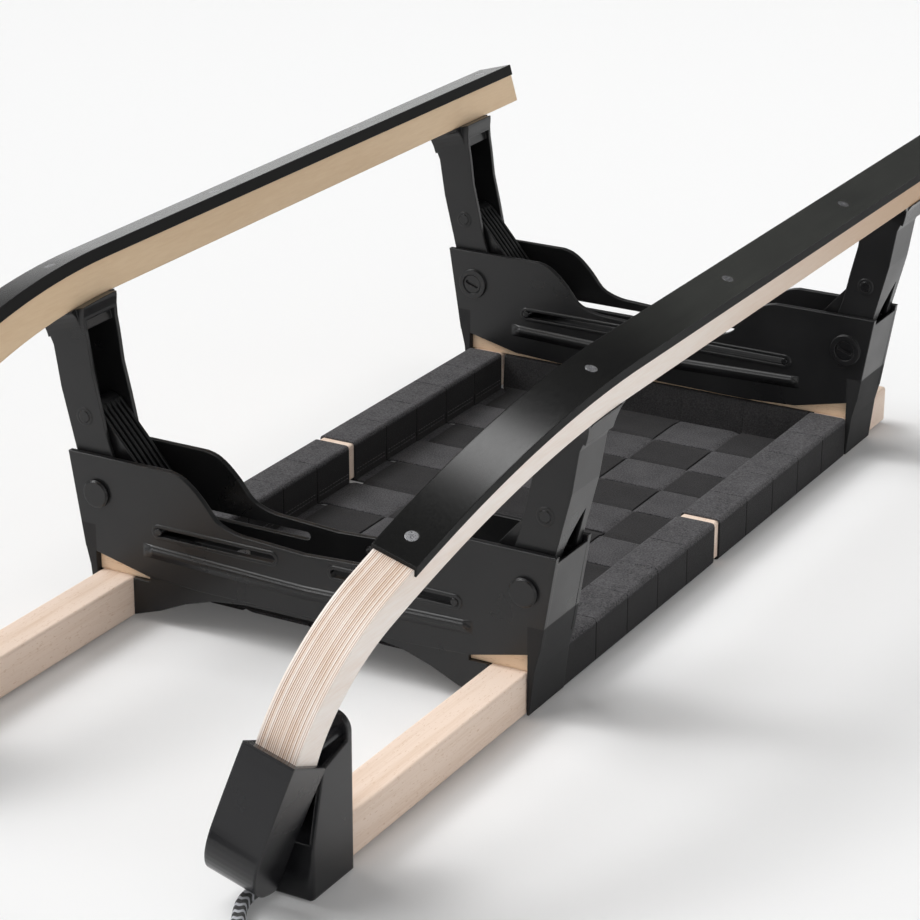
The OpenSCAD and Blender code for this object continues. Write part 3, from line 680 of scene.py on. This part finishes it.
# %% Seams
SEAM_HEIGHTS, SEAM_IN, SEAM_MARGIN = (0.0062, 0.0090), 0.00155, 0.004
sewing, sizes = stitch_tree(thread)
verts, edges = [], []
for i in range(2 * CROSS_N):
    for side in (-1, 1):
        for z in SEAM_HEIGHTS:
            x, y = side * (RAIL_IN - SEAM_IN), cross_y(i)
            reach = CROSS_PITCH / 2 - SEAM_MARGIN
            verts += [(x, y - reach, z), (x, y + reach, z)]
            edges.append((len(verts) - 2, len(verts) - 1))
seam_lines = bpy.data.meshes.new("seam_lines")
seam_lines.from_pydata(verts, edges, [])
seams = grown_piece("seams", seam_lines, sewing,
                    {sizes[label]: value for label, value in STITCH.items()})
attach(seams, "frame")
print("seams:", len(edges), "lines,", len(seams.data.polygons), "faces")

# %% [markdown]
# ## Wood
#
# The rails and crossbars are solid pale hardwood. Its colour hardly varies, so the grain is built
# from noise that is stretched along the board, with short darker flecks, and the edges are turned
# a little by the Bevel node, as a sanded edge is, because a knife-sharp edge never shines.


# %% Solid wood
def soft_edges(tree, radius):
    return add(tree, "ShaderNodeBevel", {"Radius": radius}, samples=6).outputs["Normal"]


def solid_wood(name, along, light, dark):
    """Pale hardwood whose grain runs along axis 0 or 1."""
    material, tree, shader, coordinates = new_finish(name)
    scale = [1.0, 1.0, 1.0]
    scale[along] = 0.035
    stretched = add(tree, "ShaderNodeMapping",
                    {"Vector": coordinates.outputs["Object"], "Scale": scale}).outputs["Vector"]
    rings = add(tree, "ShaderNodeTexNoise", {"Vector": stretched, "Scale": 90.0, "Detail": 4.0,
                                             "Roughness": 0.55, "Distortion": 0.6})
    fibres = add(tree, "ShaderNodeTexNoise", {"Vector": stretched, "Scale": 900.0, "Detail": 3.0})
    scale[along] = 0.16
    fleck_space = add(tree, "ShaderNodeMapping",
                      {"Vector": coordinates.outputs["Object"], "Scale": scale}).outputs["Vector"]
    flecks = add(tree, "ShaderNodeTexNoise", {"Vector": fleck_space, "Scale": 1500.0, "Detail": 1.0})
    fleck = sums(tree, "MULTIPLY", sums(tree, "GREATER_THAN", flecks.outputs["Fac"], 0.68), 0.35)
    tone = sums(tree, "MULTIPLY_ADD", rings.outputs["Fac"], 0.75,
                sums(tree, "MULTIPLY", fibres.outputs["Fac"], 0.35))
    tone = sums(tree, "SUBTRACT", tone, sums(tree, "ADD", fleck, 0.05))
    tree.links.new(ramp(tree, tone, [(0.2, dark), (0.5, light), (0.8, light)]),
                   shader.inputs["Base Color"])
    rough = sums(tree, "MULTIPLY_ADD", fibres.outputs["Fac"], 0.2, 0.42)
    tree.links.new(rough, shader.inputs["Roughness"])
    shader.inputs["Specular IOR Level"].default_value = 0.35
    bump = add(tree, "ShaderNodeBump", {"Height": tone, "Strength": 0.25, "Distance": 0.0003,
                                        "Normal": soft_edges(tree, 0.0012)})
    tree.links.new(bump.outputs["Normal"], shader.inputs["Normal"])
    return material


rail_wood = solid_wood("wood_rail", 1, swatch(240, 219, 202), swatch(222, 194, 170))
bar_wood = solid_wood("wood_bar", 0, swatch(240, 212, 182), swatch(222, 188, 152))
print("solid woods:", rail_wood.name, bar_wood.name)

# %% [markdown]
# ## Laminated wood
#
# A bent runner is glued up from some twenty thin veneers that stand side by side, so its curved
# faces show fine lines along their whole length, while its flanks show one veneer's plain face.
# The lines depend only on the place across the leaning runner, so the shader turns X and Z by the
# runner's lean and counts veneers there. Both sides share it, because X is taken without its sign.
#
# In the photograph the far runner at the left looks warmer than the near one, and the near one
# darkens towards its rear end. That comes from the studio's light, which falls off in a way that
# far lamps can't, so it is mixed in here by place.

# %% Laminated wood
VENEERS, VENEER_T, FIRST_EDGE, GLUE_SHARE = 22, 0.001152, 0.01805, 0.38
laminate, tree, shader, coordinates = new_finish("wood_laminated")
place = add(tree, "ShaderNodeSeparateXYZ", {0: coordinates.outputs["Object"]})
out = sums(tree, "SUBTRACT", sums(tree, "ABSOLUTE", place.outputs[0]), FOLD_X)
up = sums(tree, "SUBTRACT", place.outputs[2], FOLD_Z)
across = sums(tree, "SUBTRACT", sums(tree, "MULTIPLY", out, math.cos(LEAN)),
              sums(tree, "MULTIPLY", up, math.sin(LEAN)))
wander = add(tree, "ShaderNodeTexNoise",
             {"Vector": coordinates.outputs["Object"], "Scale": 9.0, "Detail": 1.0})
count = sums(tree, "MULTIPLY_ADD", sums(tree, "ADD", across, FIRST_EDGE), 1 / VENEER_T,
             sums(tree, "MULTIPLY_ADD", wander.outputs["Fac"], 0.5, -0.25))
veneer = sums(tree, "MAXIMUM", sums(tree, "FLOOR", count), 0.0)
veneer = sums(tree, "MINIMUM", veneer, VENEERS)
within = sums(tree, "SUBTRACT", count, veneer)
each = add(tree, "ShaderNodeTexWhiteNoise", {"W": veneer}, noise_dimensions="1D")
inside = sums(tree, "MULTIPLY", sums(tree, "GREATER_THAN", count, 0.9),
              sums(tree, "LESS_THAN", count, VENEERS + 0.4))
glue = sums(tree, "MULTIPLY", sums(tree, "LESS_THAN", within, GLUE_SHARE), inside)
long_space = add(tree, "ShaderNodeMapping", {
    "Vector": coordinates.outputs["Object"], "Scale": (1.0, 0.06, 0.5)}).outputs["Vector"]
figure = add(tree, "ShaderNodeTexNoise", {"Vector": long_space, "Scale": 60.0, "Detail": 4.0,
                                          "Distortion": 0.8})
fibres = add(tree, "ShaderNodeTexNoise", {"Vector": long_space, "Scale": 1100.0, "Detail": 2.0})
tone = sums(tree, "MULTIPLY_ADD", figure.outputs["Fac"], 0.5,
            sums(tree, "MULTIPLY", fibres.outputs["Fac"], 0.3))
tone = sums(tree, "MULTIPLY_ADD", sums(tree, "MULTIPLY", each.outputs["Value"], inside), 0.3, tone)
pale = ramp(tree, tone, [(0.3, swatch(246, 238, 231)), (0.62, swatch(236, 218, 203)),
                         (0.9, swatch(212, 182, 154))])
shaded = ramp(tree, tone, [(0.3, swatch(186, 153, 118)), (0.62, swatch(178, 141, 104)),
                           (0.9, swatch(160, 117, 78))])
warm = ramp(tree, tone, [(0.3, swatch(238, 210, 174)), (0.9, swatch(214, 176, 132))])

near_side = mixed(tree, between(tree, place.outputs[1], -0.20, 0.40), pale, shaded)
plank = mixed(tree, sums(tree, "LESS_THAN", place.outputs[0], 0.0), near_side, warm)
stain = sums(tree, "MULTIPLY", glue, sums(tree, "MULTIPLY_ADD", each.outputs["Value"], 0.6, 0.4))
tree.links.new(mixed(tree, stain, plank, swatch(150, 104, 78)), shader.inputs["Base Color"])
shader.inputs["Roughness"].default_value = 0.45
shader.inputs["Specular IOR Level"].default_value = 0.4
bump = add(tree, "ShaderNodeBump", {"Height": sums(tree, "SUBTRACT", tone, glue), "Strength": 0.3,
                                    "Distance": 0.0002, "Normal": soft_edges(tree, 0.0012)})
tree.links.new(bump.outputs["Normal"], shader.inputs["Normal"])
print("laminated wood:", laminate.name, "veneers:", VENEERS)

# %% [markdown]
# ## Moulded plastic
#
# Beams, legs, struts and noses are glass-filled plastic out of one kind of mould: a satin black
# with a fine spark-eroded grain. The grain is noise in the bump, the sheen varies a little with a
# larger noise, and the Bevel node gives each edge the thin light line that the photograph shows.


# %% Moulded plastic
def moulded(name, base, worn, roughness, grain, edge):
    """Grained black plastic; returns its material, its tree, its place and the grain's bump."""
    material, tree, shader, coordinates = new_finish(name)
    spots = add(tree, "ShaderNodeTexNoise",
                {"Vector": coordinates.outputs["Object"], "Scale": 24.0, "Detail": 4.0})
    skin = add(tree, "ShaderNodeTexNoise",
               {"Vector": coordinates.outputs["Object"], "Scale": grain, "Detail": 3.0})
    tone = sums(tree, "MULTIPLY_ADD", skin.outputs["Fac"], 0.4,
                sums(tree, "MULTIPLY", spots.outputs["Fac"], 0.6))
    tree.links.new(ramp(tree, tone, [(0.3, base), (0.75, worn)]), shader.inputs["Base Color"])
    tree.links.new(sums(tree, "MULTIPLY_ADD", spots.outputs["Fac"], 0.26, roughness - 0.13),
                   shader.inputs["Roughness"])
    bump = add(tree, "ShaderNodeBump", {"Height": skin.outputs["Fac"], "Strength": 0.3,
                                        "Distance": 0.0001, "Normal": soft_edges(tree, edge)})
    tree.links.new(bump.outputs["Normal"], shader.inputs["Normal"])
    shader.inputs["Specular IOR Level"].default_value = 0.43
    place = add(tree, "ShaderNodeSeparateXYZ", {0: coordinates.outputs["Object"]})
    return material, tree, place, bump


black_beam = moulded("black_moulded", swatch(18, 18, 19), swatch(30, 30, 31), 0.32, 1600.0, 0.0012)[0]
black_nose = moulded("black_nose", swatch(18, 18, 20), swatch(29, 29, 31), 0.25, 1500.0, 0.0022)[0]
pin_plastic = moulded("black_pin", swatch(17, 17, 18), swatch(29, 29, 30), 0.20, 1500.0, 0.0013)[0]

print("plastics:", black_beam.name, black_nose.name, pin_plastic.name)

# %% [markdown]
# ### The beams' bead and skirt
#
# The cross beams are the same plastic. A bead runs along each plate, and the solid has it as a
# flat ridge that drops a little towards the middle. A bump in the form of a half round makes it
# catch the light as a rounded one. The skirt below the end wall is rougher, so it shows no bright
# reflection.

# %% Beam plastic
BEAD_SLOPE, BEAD_Z, BEAD_HALF, BEAD_RISE = 0.0272, 0.0486, 0.0048, 0.0036
BEAD_END, SKIRT_TOP, SKIRT_OUT, SKIRT_ROUGHER = 0.123, 0.0625, 0.1598, 0.405
beam_plastic, tree, place, bump = moulded(
    "black_beam", swatch(18, 18, 19), swatch(31, 31, 32), 0.31, 1600.0, 0.0012)
aside = sums(tree, "ABSOLUTE", place.outputs[0])
middle = sums(tree, "MULTIPLY_ADD", aside, BEAD_SLOPE, BEAD_Z)
off = sums(tree, "DIVIDE", sums(tree, "SUBTRACT", place.outputs[2], middle), BEAD_HALF)
ridge = sums(tree, "MAXIMUM", sums(tree, "SUBTRACT", 1.0, sums(tree, "MULTIPLY", off, off)), 0.0)
ridge = sums(tree, "MULTIPLY", sums(tree, "SQRT", ridge),
             between(tree, aside, BEAD_END, BEAD_END - 0.008))
raised = add(tree, "ShaderNodeBump", {"Height": ridge, "Strength": 1.0, "Distance": BEAD_RISE,
                                      "Normal": bump.outputs["Normal"]})
shader = next(n for n in tree.nodes if n.type == "BSDF_PRINCIPLED")
tree.links.new(raised.outputs["Normal"], shader.inputs["Normal"])
skirt = sums(tree, "MULTIPLY", between(tree, place.outputs[2], SKIRT_TOP, SKIRT_TOP - 0.0015),
             between(tree, aside, SKIRT_OUT, SKIRT_OUT + 0.0004))
polish = shader.inputs["Roughness"].links[0].from_socket
tree.links.new(sums(tree, "MULTIPLY_ADD", skirt, SKIRT_ROUGHER, polish), shader.inputs["Roughness"])
print("beam plastic:", beam_plastic.name)

# %% [markdown]
# ## The soles
#
# A sole is a smooth plastic strip that is drawn along the runner, so its fine scratches all run
# lengthwise. The solid's bow is a row of flat steps of one degree, which would show as bands in so
# smooth a face. The arc's own normal is known from its centre, so the shader uses that instead.
# The strip's sides are dull, and behind the bow a painted reflection makes its face greyer.

# %% Normal of a true arc
# Centre of the long bow, along Y and up the leaning runner from the fold axis
BOW_Y, BOW_V = -0.1042, -0.498
SAME_FACE = 0.9998


def rolled(tree, coordinates, softened):
    """The arc's normal where a facet nearly agrees with it, else the softened one.

    The second value is 1 on those facets and 0 elsewhere."""
    here = add(tree, "ShaderNodeSeparateXYZ", {0: coordinates.outputs["Object"]})
    side = sums(tree, "SIGN", here.outputs[0])
    out = sums(tree, "SUBTRACT", sums(tree, "ABSOLUTE", here.outputs[0]), FOLD_X)
    up = sums(tree, "SUBTRACT", here.outputs[2], FOLD_Z)
    v = sums(tree, "ADD", sums(tree, "MULTIPLY", out, math.sin(LEAN)),
             sums(tree, "MULTIPLY", up, math.cos(LEAN)))
    dv = sums(tree, "SUBTRACT", v, BOW_V)
    dy = sums(tree, "MINIMUM", sums(tree, "SUBTRACT", here.outputs[1], BOW_Y), 0.0)
    radial = add(tree, "ShaderNodeCombineXYZ", {
        0: sums(tree, "MULTIPLY", sums(tree, "MULTIPLY", dv, math.sin(LEAN)), side), 1: dy,
        2: sums(tree, "MULTIPLY", dv, math.cos(LEAN))})
    turned = add(tree, "ShaderNodeVectorTransform", {0: radial.outputs[0]},
                 vector_type="VECTOR", convert_from="OBJECT", convert_to="WORLD")
    arc = add(tree, "ShaderNodeVectorMath", {0: turned.outputs[0]}, operation="NORMALIZE").outputs[0]
    flat = tree.nodes.new("ShaderNodeNewGeometry").outputs["True Normal"]
    product = add(tree, "ShaderNodeVectorMath", {0: arc, 1: flat}, operation="DOT_PRODUCT")
    agree = product.outputs["Value"]
    near = sums(tree, "GREATER_THAN", sums(tree, "ABSOLUTE", agree), SAME_FACE)
    facing = add(tree, "ShaderNodeVectorMath", {0: arc, "Scale": sums(tree, "SIGN", agree)},
                 operation="SCALE").outputs[0]
    change = add(tree, "ShaderNodeVectorMath", {0: facing, 1: flat}, operation="SUBTRACT").outputs[0]
    change = add(tree, "ShaderNodeVectorMath", {0: change, "Scale": near}, operation="SCALE").outputs[0]
    total = add(tree, "ShaderNodeVectorMath", {0: softened, 1: change}, operation="ADD").outputs[0]
    return add(tree, "ShaderNodeVectorMath", {0: total}, operation="NORMALIZE").outputs[0], near


print("bow's centre:", BOW_Y, BOW_V)

# %% Sole
sole_black, tree, shader, coordinates = new_finish("black_sole")
drawn = add(tree, "ShaderNodeMapping",
            {"Vector": coordinates.outputs["Object"], "Scale": (1.0, 0.012, 1.0)}).outputs["Vector"]
scratches = add(tree, "ShaderNodeTexNoise", {"Vector": drawn, "Scale": 1500.0, "Detail": 2.0})
patches = add(tree, "ShaderNodeTexNoise",
              {"Vector": coordinates.outputs["Object"], "Scale": 14.0, "Detail": 3.0})
tone = sums(tree, "MULTIPLY_ADD", scratches.outputs["Fac"], 0.5,
            sums(tree, "MULTIPLY", patches.outputs["Fac"], 0.5))
sole_normal, on_face = rolled(tree, coordinates, soft_edges(tree, 0.0012))
along = add(tree, "ShaderNodeSeparateXYZ", {0: coordinates.outputs["Object"]}).outputs[1]
# Painted reflection: behind the bow, the running face of the sole gets a greyer colour.
behind_bow = sums(tree, "MULTIPLY", between(tree, along, -0.12, 0.02), on_face)
black = ramp(tree, tone, [(0.35, swatch(12, 12, 12)), (0.7, swatch(22, 22, 21))])
painted_reflection_grey = ramp(tree, tone, [(0.35, swatch(47, 48, 46)), (0.7, swatch(61, 62, 59))])
tree.links.new(mixed(tree, behind_bow, black, painted_reflection_grey), shader.inputs["Base Color"])
face_rough = sums(tree, "MULTIPLY_ADD", scratches.outputs["Fac"], 0.09, 0.15)
side_rough = sums(tree, "MULTIPLY_ADD", on_face, -0.75, 0.75)
tree.links.new(sums(tree, "ADD", face_rough, side_rough), shader.inputs["Roughness"])
bump = add(tree, "ShaderNodeBump", {"Height": scratches.outputs["Fac"], "Strength": 0.12,
                                    "Distance": 0.0001, "Normal": sole_normal})
tree.links.new(bump.outputs["Normal"], shader.inputs["Normal"])
print("sole:", sole_black.name)

# %% [markdown]
# ## Steel
#
# Screw heads are zinc-plated steel. A metal's colour is its reflection, so the finish is a light
# base with full metallic, and a fine noise in the roughness keeps the heads from looking like
# mirrors.

# %% Steel
steel, tree, shader, coordinates = new_finish("steel_plated")
brush = add(tree, "ShaderNodeTexNoise",
            {"Vector": coordinates.outputs["Object"], "Scale": 1200.0, "Detail": 2.0})
plating = ramp(tree, brush.outputs["Fac"], [(0.3, swatch(178, 178, 182)), (0.7, swatch(222, 222, 224))])
tree.links.new(plating, shader.inputs["Base Color"])
tree.links.new(sums(tree, "MULTIPLY_ADD", brush.outputs["Fac"], 0.2, 0.2), shader.inputs["Roughness"])
shader.inputs["Metallic"].default_value = 1.0
bump = add(tree, "ShaderNodeBump", {"Height": brush.outputs["Fac"], "Strength": 0.2,
                                    "Distance": 0.00008, "Normal": soft_edges(tree, 0.0002)})
tree.links.new(bump.outputs["Normal"], shader.inputs["Normal"])
print("steel:", steel.name)

# %% [markdown]
# ## Dressing the solids
#
# Every rigid solid keeps its shape and only gets a finish. Their names say what they are, so one
# table of name beginnings and finishes dresses them all, and an unknown name stops the lesson.

# %% Finishes by name
finish_of = {
    "rail_screws": steel, "beam_screws": steel, "sole_screws": steel, "nose_pins": black_nose,
    "rail_": rail_wood, "crossbar": bar_wood, "runner": laminate, "sole": sole_black,
    "beam": beam_plastic, "leg_pins": pin_plastic, "leg": black_beam, "strut": black_beam,
    "pivot": pin_plastic, "slot_pin": pin_plastic, "nose": black_nose,
    "straps": webbing_dark, "rope": braid,
}
for node_name, node in nodes.items():
    finish = next(m for start, m in finish_of.items() if node_name.startswith(start))
    if not node.material_slots:
        node.data.materials.append(finish)
    for place in node.material_slots:
        place.material = finish
print("dressed CAD nodes:", len(nodes))

# %% [markdown]
# ## Floor and light
#
# The photograph is a studio one: a seamless white floor and soft light from the left. A narrow
# and a wide far lamp share that side, because the shadows have a firm core and a soft rim. A small
# box over the back gives the bow of the sole its highlight, and the world is brighter at the right,
# which lifts the outer flank of the near runner. The floor's own colour makes the background, with
# a share of plain light for camera, mirror and glass rays, so the object is never overlit to make
# the floor white, and its soft shadow stays.

# %% Floor
floor = piece_from_mesh("floor", bpy.data.meshes.new("floor"))
floor.data.from_pydata([(-9, -7, 0), (9, -7, 0), (9, 13, 0), (-9, 13, 0)], [], [(0, 1, 2, 3)])
FLOOR_GAP = 0.0004
floor.data.transform(Matrix.Translation((0, 0, -FLOOR_GAP)))
paper, tree, shader = new_finish("paper_white")[:3]
shader.inputs["Base Color"].default_value = (0.80, 0.80, 0.80, 1.0)
shader.inputs["Roughness"].default_value = 0.9
shader.inputs["Specular IOR Level"].default_value = 0.1
rays = tree.nodes.new("ShaderNodeLightPath")
seen = sums(tree, "MAXIMUM", rays.outputs["Is Camera Ray"],
            sums(tree, "MAXIMUM", rays.outputs["Is Glossy Ray"], rays.outputs["Is Transmission Ray"]))
glow = add(tree, "ShaderNodeEmission", {"Color": (1.0, 1.0, 1.0, 1.0)})
tree.links.new(sums(tree, "MULTIPLY", seen, 0.06), glow.inputs["Strength"])
both = add(tree, "ShaderNodeAddShader")
tree.links.new(shader.outputs[0], both.inputs[0])
tree.links.new(glow.outputs[0], both.inputs[1])
output = next(n for n in tree.nodes if n.type == "OUTPUT_MATERIAL")
tree.links.new(both.outputs[0], output.inputs["Surface"])
floor.data.materials.append(paper)
print("floor at z", floor.data.vertices[0].co.z)

# %% Lights
def softbox(name, place, target, width, height, power):
    """A rectangular area light at a place, facing a target."""
    data = bpy.data.lights.new(name, "AREA")
    data.shape, data.size, data.size_y, data.energy = "RECTANGLE", width, height, power
    lamp = bpy.data.objects.new(name, data)
    bpy.context.scene.collection.objects.link(lamp)
    lamp.location = place
    lamp.rotation_euler = (Vector(target) - Vector(place)).to_track_quat("-Z", "Y").to_euler()
    return lamp


def sunlamp(name, toward, strength, spread_angle):
    """A far round lamp that shines from a direction, so its shadows keep one edge width."""
    data = bpy.data.lights.new(name, "SUN")
    data.energy, data.angle = strength, spread_angle
    lamp = bpy.data.objects.new(name, data)
    bpy.context.scene.collection.objects.link(lamp)
    lamp.rotation_euler = Vector(toward).to_track_quat("Z", "Y").to_euler()
    return lamp


sunlamp("key_from_left", (-0.84, -0.24, 1.0), 0.8, 0.3)
sunlamp("wide_from_left", (-0.70, -0.26, 1.0), 2.3, 1.0)
softbox("box_over_back", (-0.09, 1.27, 2.68), (0.2, -0.25, 0.2), 0.9, 0.50, 6.5)

world = bpy.data.worlds.new("studio")
bpy.context.scene.world = world
world.use_nodes = True
sky = next(n for n in world.node_tree.nodes if n.type == "BACKGROUND")
studio = world.node_tree
way = add(studio, "ShaderNodeSeparateXYZ",
          {0: add(studio, "ShaderNodeTexCoord").outputs["Generated"]})


def zone(axis, low, high):
    """0 to 1 as the direction's axis goes from low to high, softly."""
    return between(studio, way.outputs[axis], low, high)


# How bright the world is, by direction: a plain level, more near the horizon and more still at
# the right, and far less straight overhead and, above the horizon's band, behind the sled
LEVEL, HORIZON, RIGHT_SIDE, DARKENED = 0.36, 0.25, 0.72, 0.8
dark = sums(studio, "MAXIMUM", sums(studio, "MULTIPLY", zone(1, 0.15, 0.5), zone(2, 0.10, 0.24)),
            zone(2, 0.84, 0.94))
right = sums(studio, "MULTIPLY", zone(0, -0.1, 0.5), zone(2, 0.62, 0.35))
level = sums(studio, "MULTIPLY_ADD", zone(2, 0.16, 0.05), HORIZON, LEVEL)
level = sums(studio, "MULTIPLY_ADD", right, RIGHT_SIDE, level)
bright = sums(studio, "MULTIPLY", level, sums(studio, "MULTIPLY_ADD", dark, -DARKENED, 1.0))
studio.links.new(bright, sky.inputs["Strength"])
sky.inputs["Color"].default_value = (1.0, 1.0, 1.0, 1.0)
bpy.context.scene.view_settings.view_transform = "Standard"
